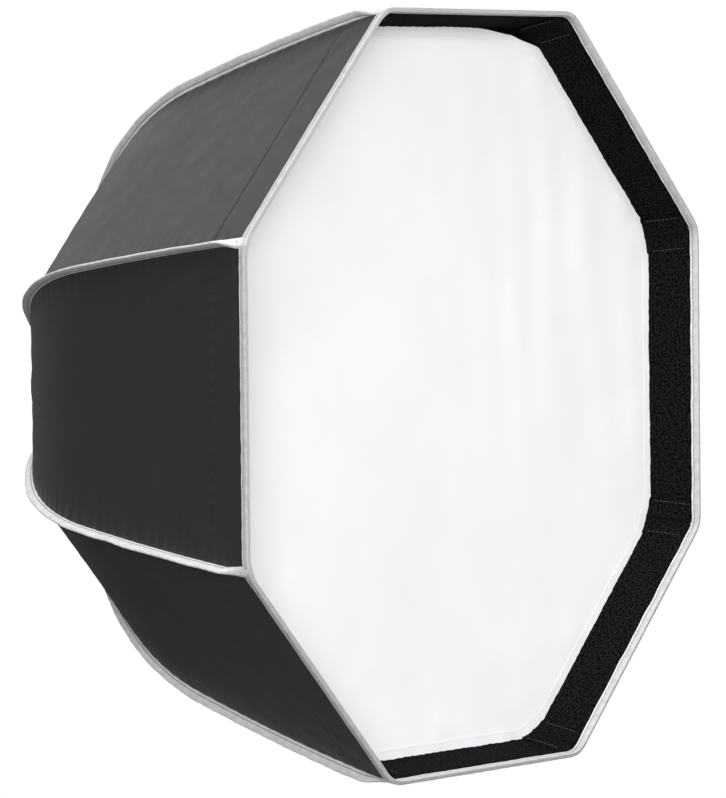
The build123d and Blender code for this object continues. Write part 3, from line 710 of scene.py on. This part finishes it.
def make_tip_pocket(gore, side):
    """Half of the short loop-tape pocket inside a corner, which holds the rib's tip."""
    near = np.linspace(0, 2, 5)[:-1] * MM
    far = np.linspace(2 * MM, POCKET_END - LOOP_START, 24)
    run = (LOOP_START + 0.3 * MM + np.concatenate([near, far]))[:, None]
    seam = np.linspace(0, POCKET_REACH, 21)[None, :]
    height = pocket_height(gore, side, run[0, 0], run[-1, 0])
    inner, normals = gore_sheet(gore, side, run, seam, height)
    outer = on_gore(gore, side, run, seam, height(run, seam) - 1.1 * MM)
    uv = uv_pairs(side * seam, run)
    name = half_name(gore, side)
    piece = shell(f"tip_pocket_{name}", outer, inner, [LOOP_TAPE], uv, flip=side > 0,
                  normals=normals)
    join_gore(piece)
    spots = np.linspace(LOOP_START + 3 * MM, LOOP_END - 5 * MM, 30)
    reach = np.full_like(spots, POCKET_REACH - 1.6 * MM)
    at, out = surface_line(gore, side, spots, reach, height(spots, reach) + 0.1 * MM, 0)
    thread = stitches(f"pocket_stitching_{name}", [(at, -out)], DARK_THREAD)
    join_gore(thread)


# ---------------------------------------------------------------- ribs
# Across a standing seam: millimetres beside and above the rib's corner line.
SEAM_PROFILE = ((-0.75, -2.6), (-1.05, -0.4), (-1.3, 0.6), (-1.36, 1.9), (-0.85, 2.25),
                (-1.36, 2.6), (-1.42, 3.9), (-1.35, 5.2), (-1.12, 6.5), (-0.7, 7.3), (0.0, 7.6),
                (0.7, 7.3), (1.12, 6.5), (1.35, 5.2), (1.42, 3.9), (1.36, 2.6), (0.85, 2.25),
                (1.36, 1.9), (1.3, 0.6), (1.05, -0.4), (0.75, -2.6))
# The tape is painted paler on its side towards the gore before the rib, as painted light, and is
# pale at both stitched lips; its grooves are painted dark as shade.
SEAM_KINDS = (0, 0, 1, 2, 2, 1, 1, 1, 1, 1, 1, 0, 0, 0, 0, 2, 2, 1, 0, 0, 0)
GROOVE_UP = 2.25 * MM


def seam_points(rib, run, across, up):
    """Points beside and above a rib's corner line, rounded like the cloth beneath."""
    radius, forward, taper = wall(run)
    corner = rounding(run)
    lower = corner * (1 / cos(HALF) - 1) + across ** 2 / (2 * corner)
    rise = np.maximum(up - lower, SEAM_PROFILE[0][1] * MM)
    return point(rib_angle(rib), radius + rise * np.cos(taper), across,
                 forward - rise * np.sin(taper))


def seam_runs():
    """Runs along a rib seam, closer together where it is folded flat."""
    return np.concatenate([np.linspace(0.4 * MM, SEAM_FLAT_END, 24),
                           np.linspace(SEAM_FLAT_END + 2 * MM, END_RUN, 205)])


def seam_stand(run):
    """0 where a rib seam is folded flat at the rim, 1 where it stands up."""
    return ease((run - 5 * MM) / (25 * MM))


def seam_uneven(rib):
    """The uneven growth of one rib's seam, as a random function."""
    return waves(600 + rib, 5, 14 * MM, 70 * MM)


def seam_lean(rib, run):
    """How far a seam leans to one side, as a share of the height above the corner line."""
    return 0.05 * seam_uneven(rib)(run, 0.1) * seam_stand(run)


def make_rib_seam(rib):
    """The bound seam that stands along a rib; it is folded flat and tacked down at the rim."""
    run = seam_runs()
    lean = seam_lean(rib, run)
    uneven = seam_uneven(rib)
    bite = waves(620 + rib, 3, 5 * MM, 9 * MM)
    flare = 1 - ease((run - 4 * MM) / (26 * MM))
    swell = (1 + 0.045 * uneven(run, 0) + 0.02 * bite(run, 0)) * (0.13 + 0.87 * seam_stand(run))
    swell *= 1 - 0.08 * ease((run - 170 * MM) / (110 * MM))
    rings = []
    for across, height in SEAM_PROFILE:
        up = height * MM * np.where(height > 0, swell, 1)
        width = across * MM * (1 + 2.1 * flare * (height > 0))
        rings.append(seam_points(rib, run, width + lean * max(height, 0) * MM, up))
    rings = np.stack(rings, axis=1)
    steps = np.hypot(*np.diff(np.array(SEAM_PROFILE), axis=0).T)
    long = np.concatenate([[0], np.cumsum(steps)]) * MM
    uv = uv_pairs(long[None, :], run[:, None])
    piece = band(f"rib_seam_{rib}", rings, [TAPE, TAPE_LIP_AND_LIT_SIDE, TAPE_GROOVE_SHADE], uv, SEAM_KINDS, flip=True)
    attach(piece, f"rib_{rib}")
    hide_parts(f"rib_binding_{rib}")


def make_rib_stitching(rib):
    """Stitches in both grooves of a rib seam, and two tacks across its folded end."""
    angle = rib_angle(rib)
    run = np.linspace(SEAM_FLAT_END, END_RUN - 3 * MM, 240)
    lean = np.interp(run, seam_runs(), seam_lean(rib, seam_runs())) * GROOVE_UP
    lines = []
    for side in (-1, 1):
        spots = seam_points(rib, run, side * 0.95 * MM + lean, GROOVE_UP + 0 * run)
        out = np.array([-sin(angle), 0, cos(angle)]) * side
        lines.append((spots, np.broadcast_to(out, spots.shape)))
    tack = np.linspace(-2.4, 2.4, 9) * MM
    out = np.array([cos(angle), 0, sin(angle)])
    for place in TACK_RUNS:
        spots = seam_points(rib, place + 0 * tack, tack, 1.5 * MM + 0 * tack)
        lines.append((spots, np.broadcast_to(out, spots.shape)))
    thread = stitches(f"rib_stitching_{rib}", lines, GREY_THREAD)
    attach(thread, f"rib_{rib}")


# ---------------------------------------------------------------- diffusers
def octagon_radius(angle, flat, cut):
    """Distance from the axis to an eight-sided edge with clipped corners."""
    from_middle = (angle + HALF) % (2 * HALF) - HALF
    side = flat / np.cos(from_middle)
    clip = cut / np.cos(HALF - np.abs(from_middle))
    soft = 0.5 * MM
    return -np.log(np.exp((flat - side) / soft) + np.exp((flat - clip) / soft)) * soft + flat


def front_edge(angle):
    """The front diffuser's edge; it is pulled in at the upper right, where its tape is eased."""
    from_corner = np.degrees((angle - radians(67.5) + pi) % (2 * pi) - pi)
    pulled = 5.5 * MM * bell(from_corner - 3.5, 6.5)
    wavy = 0.5 * MM * np.sin(23 * angle + 1) * np.sin(7 * angle)
    return octagon_radius(angle, DIFFUSER_FLAT, DIFFUSER_CUT) - pulled + wavy


def inner_edge(angle):
    """The inner diffuser's edge."""
    return octagon_radius(angle, INNER_FLAT, INNER_FLAT / cos(HALF) - 4 * MM)


FRONT_SLOW = waves(701, 6, 150 * MM, 320 * MM)
FRONT_TURN = waves(702, 4, 60 * MM, 180 * MM)
FRONT_FINE = waves(703, 8, 24 * MM, 60 * MM)
INNER_SLOW = waves(711, 6, 120 * MM, 260 * MM)
EDGE_RADIUS = 265 * MM                # the front diffuser's dish ends and its pleats are full


def front_height(x, z):
    """How far the front diffuser stands forward of its plane: soft folds and a loose edge."""
    radius = np.hypot(x, z)
    angle = np.arctan2(z, x)
    edge = (radius / EDGE_RADIUS) ** 5
    slow = FRONT_SLOW(x, z)
    folds = np.sin(2 * pi * (x + 0.12 * z) / (46 * MM) + 1.6 * slow)
    right = ease((x + 60 * MM) / (220 * MM)) * ease((z + 200 * MM) / (330 * MM))
    pleats = np.sin(37 * angle + 3 * FRONT_TURN(x, z)) * np.exp(-(EDGE_RADIUS - radius) / (16 * MM))
    lift = 0.4 * MM * folds * right * (1 - 0.5 * edge) + 0.6 * MM * slow * (1 - edge)
    lift += 0.12 * MM * pleats * (radius < RIM_RADIUS) + 0.15 * MM * FRONT_FINE(x, z) * (0.3 + edge)
    return lift - 2.5 * MM * (1 - (radius / EDGE_RADIUS) ** 2)


def inner_height(x, z):
    """The inner diffuser sags a little between its straps."""
    angle = np.arctan2(z, x)
    edge = np.hypot(x, z) / INNER_FLAT
    return 1.8 * MM * INNER_SLOW(x, z) + 1.5 * MM * np.cos(8 * (angle + HALF)) * edge ** 4


def diffuser_grid(angles, radii, forward, height):
    """Front and back grids of a cloth across the box, with its normals."""
    x, z = radii * np.cos(angles), radii * np.sin(angles)
    lift = height(x, z)
    front = np.stack([x, -(forward + lift), z], axis=-1)
    back = np.stack([x, -(forward + lift - DIFFUSER_THICK), z], axis=-1)
    small = 0.5 * MM
    slope_x = (height(x + small, z) - height(x - small, z)) / (2 * small)
    slope_z = (height(x, z + small) - height(x, z - small)) / (2 * small)
    normals = np.stack([-slope_x, -np.ones_like(x), -slope_z], axis=-1)
    normals /= np.linalg.norm(normals, axis=-1)[..., None]
    return front, back, normals


def hemmed(outline, height):
    """A diffuser's height function, with the doubled hem added near the edge."""
    def grown(x, z):
        edge = outline(np.arctan2(z, x)) - np.hypot(x, z)
        return height(x, z) + 0.15 * MM * (1 - ease((edge - DIFFUSER_HEM) / (0.8 * MM)))
    return grown


def fold_flat(piece, body):
    """Makes a diffuser's piece ride on a body, with a mesh of its own."""
    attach(piece, body)
    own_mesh(piece)


def make_diffuser_side(name, gore, forward, flat, outline, core, height):
    """One outer part of a diffuser, from its middle part to its edge, with the hem's stitches."""
    angles = gore_angle(gore) + np.linspace(-HALF, HALF, 49)[None, :]
    shares = np.concatenate([np.linspace(0, 1 - 14 * MM / (flat - core), 30),
                             1 - np.linspace(13, 0, 14) * MM / (flat - core)])[:, None]
    radii = core + (outline(angles) - core) * shares
    front, back, normals = diffuser_grid(angles + 0 * radii, radii, forward, height)
    piece = shell(f"{name}_{gore}", front, back, [DIFFUSER_CLOTH], front[..., [0, 2]], flip=True,
                  normals=normals)
    fold_flat(piece, f"gore_{gore}_a")
    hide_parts(name)
    line_angles = gore_angle(gore) + np.linspace(-HALF, HALF, 60)
    line_radii = outline(line_angles) - DIFFUSER_HEM + 1.2 * MM
    at, _, out = diffuser_grid(line_angles, line_radii, forward, height)
    sewn = stitches(f"{name}_stitching_{gore}", [(at, out)], WHITE_THREAD)
    fold_flat(sewn, f"gore_{gore}_a")


def make_diffuser_middle(name, forward, core, height):
    """The round middle part of a diffuser, which rides on the hub."""
    angles = np.linspace(0, 2 * pi, SIDES * 48 + 1)[None, :-1]
    radii = np.linspace(0.4 * MM, core, 34)[:, None]
    front, back, normals = diffuser_grid(angles + 0 * radii, radii + 0 * angles, forward, height)
    piece = shell(f"{name}_middle", front, back, [DIFFUSER_CLOTH], front[..., [0, 2]], flip=True,
                  normals=normals, disc=True)
    fold_flat(piece, "hub")


def make_diffuser(name, forward, flat, outline, core, height):
    """A cloth across the box: eight outer parts that fold into the gores, and a middle part."""
    height = hemmed(outline, height)
    for gore in range(1, SIDES + 1):
        make_diffuser_side(name, gore, forward, flat, outline, core, height)
    make_diffuser_middle(name, forward, core, height)


def make_hook_tape(gore, side):
    """Hook tape sewn to the diffuser's edge, lying on the gore behind it."""
    run = np.linspace(HOOK_START, HOOK_END, 8)[:, None]
    width = wall(run)[0] * sin(HALF)
    seam = np.linspace(18 * MM, width[:, 0], 40, axis=1)
    outer = on_gore(gore, side, run, seam, 1.05 * MM)
    inner, normals = gore_sheet(gore, side, run, seam, lambda r, t: 2.0 * MM + 0 * r)
    uv = uv_pairs(side * seam, run)
    name = f"hook_tape_{half_name(gore, side)}"
    piece = shell(name, outer, inner, [LOOP_TAPE], uv, flip=side > 0, normals=normals)
    join_gore(piece)
    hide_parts("diffuser_hook_tape")


def make_strap(rib):
    """Elastic strap that holds a corner of the inner diffuser to its rib."""
    corner = INNER_FLAT / cos(HALF)
    along = np.linspace(corner - 22 * MM, STRAP_END, 40)[:, None]
    across = np.linspace(-STRAP_HALF, STRAP_HALF, 15)[None, :]
    lift = 0.5 * MM * np.sin(pi * (along - corner) / (41 * MM)) * (along > corner)
    face = point(rib_angle(rib), along, across, STRAP_FACE + lift)
    rear = point(rib_angle(rib), along, across, STRAP_REAR + lift)
    uv = uv_pairs(across, along)
    strap = shell(f"inner_strap_{rib}", face, rear, [ELASTIC], uv)
    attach(strap, f"rib_{rib}")
    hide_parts("inner_straps")


# From a snap cap's dimple to its edge: millimetres from its middle and above the strap.
SNAP_PROFILE = ((0.2, 1.7), (2.6, 2.1), (4.6, 2.0), (5.6, 1.5), (6.0, 0.7), (6.0, 0.0))


def make_snap(rib):
    """Snap cap on a strap's outer end."""
    turns = np.linspace(0, 2 * pi, 29)[:-1]
    rings = np.stack([point(rib_angle(rib), SNAP_PLACE + r * MM * np.cos(turns),
                            r * MM * np.sin(turns), STRAP_FACE + h * MM)
                      for r, h in SNAP_PROFILE])
    snap = band(f"inner_snap_{rib}", rings, [STEEL], rings[..., [0, 2]])
    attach(snap, f"rib_{rib}")
    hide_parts("inner_snaps")


# ---------------------------------------------------------------- hub
def make_cuff(rib):
    """One rib's share of the gathered elastic cuff round the hub."""
    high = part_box("rear_cuff")[1]
    inside, rear = high[0] - 2.4 * MM, -high[1]
    turn = rib_angle(rib) + np.linspace(-HALF, HALF, 45)[None, :]
    forward = np.linspace(rear, CUFF_END, 22)[:, None]
    flare = 2.6 * MM * ease((forward - 20 * MM) / (7 * MM))
    gathers = 0.35 * MM * np.sin(56 * turn) * ease((forward - rear) / (5 * MM))
    bead = 0.5 * MM * bell(forward - rear - 1.4 * MM, 1.2 * MM)
    radius = inside + 0.4 * MM + flare + gathers + bead
    outer = np.stack([(radius + 0.7 * MM) * np.cos(turn), -forward + 0 * turn,
                      (radius + 0.7 * MM) * np.sin(turn)], axis=-1)
    inner = np.stack([radius * np.cos(turn), -forward + 0 * turn, radius * np.sin(turn)], axis=-1)
    uv = uv_pairs(turn * inside, forward)
    piece = shell(f"rear_cuff_{rib}", outer, inner, [ELASTIC], uv, flip=True)
    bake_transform(piece)
    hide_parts("rear_cuff")


def finish_hub():
    """Gives the hub's CAD nodes their materials."""
    finishes = {"mount_ring": RING_METAL, "bayonet_lugs": RING_METAL,
                "rear_housing": HUB_PLASTIC, "rib_carrier": HUB_PLASTIC,
                "lock_ring": LOCK_PLASTIC, "pivot_pins": STEEL, "housing_screws": STEEL,
                "mount_screws": STEEL, "detent_springs": STEEL}
    for rib in range(1, SIDES + 1):
        finishes[f"rib_root_{rib}"] = NYLON
        finishes[f"rib_rod_{rib}"] = ROD_STEEL
    for name, material in finishes.items():
        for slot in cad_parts[name].material_slots:
            slot.material = material


# ---------------------------------------------------------------- studio
WORLD_LIGHT, GROUND_LIGHT, BACKDROP_LIGHT = 0.21, 0.03, 1.02
GROUND_FADE = (-0.5, -0.12)           # dim below the first Z of a direction, full above the second
FLOOR_RADIUS, FLOOR_LEVEL, FLOOR_SIDES = 0.8, -1.3, 64
CAMERA_PLACE = (-3.1813, -2.3478, 0.1810)          # from the middle of the front rim
CAMERA_YAW, CAMERA_PITCH, CAMERA_ROLL = radians(52.28), radians(-2.69), radians(-0.58)
FILM_WIDTH, FOCAL_LENGTH = 36, 245.04361           # mm
LIGHTS = (                            # name, place, aim, width and power in watts
    ("front_softbox", (0.2, -3.8, 1.0), (0, -0.3, 0), 2.0, 79),
    ("camera_fill", (-3.4, -2.6, 0.7), (0, -0.2, 0), 1.6, 108),
    ("back_top_softbox", (0.9, 2.6, 1.9), (-0.1, -0.2, 0.1), 2.0, 18.5),
    ("top_softbox", (-1.2, -0.6, 2.6), (0, -0.2, 0), 1.6, 52))


def make_floor():
    """Small pale floor under the box."""
    turns = np.linspace(0, 2 * pi, FLOOR_SIDES + 1)[:-1]
    mesh = bpy.data.meshes.new("floor")
    mesh.from_pydata([(FLOOR_RADIUS * cos(t), FLOOR_RADIUS * sin(t) - 0.2, FLOOR_LEVEL)
                      for t in turns], [], [list(range(FLOOR_SIDES))])
    floor = bpy.data.objects.new("floor", mesh)
    bpy.context.collection.objects.link(floor)
    mesh.materials.append(Nodes("pale_floor", (0.7, 0.7, 0.7), 0.9).material)


def make_world():
    """White where the camera sees it; as a light it is dimmer, and darker still from below."""
    world = bpy.data.worlds.new("studio")
    bpy.context.scene.world = world
    world.use_nodes = True
    tree = world.node_tree
    seen = tree.nodes.new("ShaderNodeLightPath")
    strength = tree.nodes.new("ShaderNodeMapRange")
    where = tree.nodes.new("ShaderNodeTexCoord")
    parts = tree.nodes.new("ShaderNodeSeparateXYZ")
    tree.links.new(where.outputs["Generated"], parts.inputs[0])
    fade = tree.nodes.new("ShaderNodeMapRange")
    for name, value in zip(RAMP_INPUTS, (*GROUND_FADE, GROUND_LIGHT, WORLD_LIGHT)):
        fade.inputs[name].default_value = value
    tree.links.new(parts.outputs["Z"], fade.inputs["Value"])
    tree.links.new(fade.outputs[0], strength.inputs["To Min"])
    strength.inputs["To Max"].default_value = BACKDROP_LIGHT
    tree.links.new(seen.outputs["Is Camera Ray"], strength.inputs["Value"])
    back = tree.nodes["Background"]
    back.inputs["Color"].default_value = (1, 1, 1, 1)
    tree.links.new(strength.outputs[0], back.inputs["Strength"])


def make_light(name, place, aim, width, power):
    """A square soft light, turned towards its aim."""
    data = bpy.data.lights.new(name, "AREA")
    data.shape = "SQUARE"
    data.size = width
    data.energy = power
    lamp = bpy.data.objects.new(name, data)
    lamp.location = place
    way = Vector(aim) - Vector(place)
    lamp.rotation_euler = way.to_track_quat("-Z", "Y").to_euler()
    bpy.context.collection.objects.link(lamp)


def make_camera():
    """A long lens at the front left, nearly level with the box."""
    ahead = Vector((sin(CAMERA_YAW) * cos(CAMERA_PITCH), cos(CAMERA_YAW) * cos(CAMERA_PITCH),
                    sin(CAMERA_PITCH)))
    level = ahead.cross(Vector((0, 0, 1))).normalized()
    above = level.cross(ahead)
    right = level * cos(CAMERA_ROLL) + above * sin(CAMERA_ROLL)
    up = above * cos(CAMERA_ROLL) - level * sin(CAMERA_ROLL)
    data = bpy.data.cameras.new("camera")
    data.sensor_width = FILM_WIDTH
    data.lens = FOCAL_LENGTH
    data.clip_end = 100
    camera = bpy.data.objects.new("camera", data)
    turn = Matrix((right, up, -ahead)).transposed().to_4x4()
    x, y, z = CAMERA_PLACE
    camera.matrix_world = Matrix.Translation((x, y - RIM_FORWARD, z)) @ turn
    bpy.context.collection.objects.link(camera)
    bpy.context.scene.camera = camera


make_camera()
make_floor()
make_world()
for light in LIGHTS:
    make_light(*light)
finish_hub()
for number in range(1, SIDES + 1):
    for side in (-1, 1):
        make_gore_half(number, side)
        make_rim_binding(number, side)
        make_gore_stitching(number, side)
        make_loop_band(number, side)
        make_tip_pocket(number, side)
        make_hook_tape(number, side)
    make_rib_seam(number)
    make_rib_stitching(number)
    make_strap(number)
    make_snap(number)
    make_cuff(number)
make_diffuser("front_diffuser", DIFFUSER_FORWARD, DIFFUSER_FLAT, front_edge, DIFFUSER_CORE,
              front_height)
make_diffuser("inner_diffuser", INNER_FORWARD, INNER_FLAT, inner_edge, INNER_CORE, inner_height)
bpy.context.scene.view_settings.view_transform = "Standard"
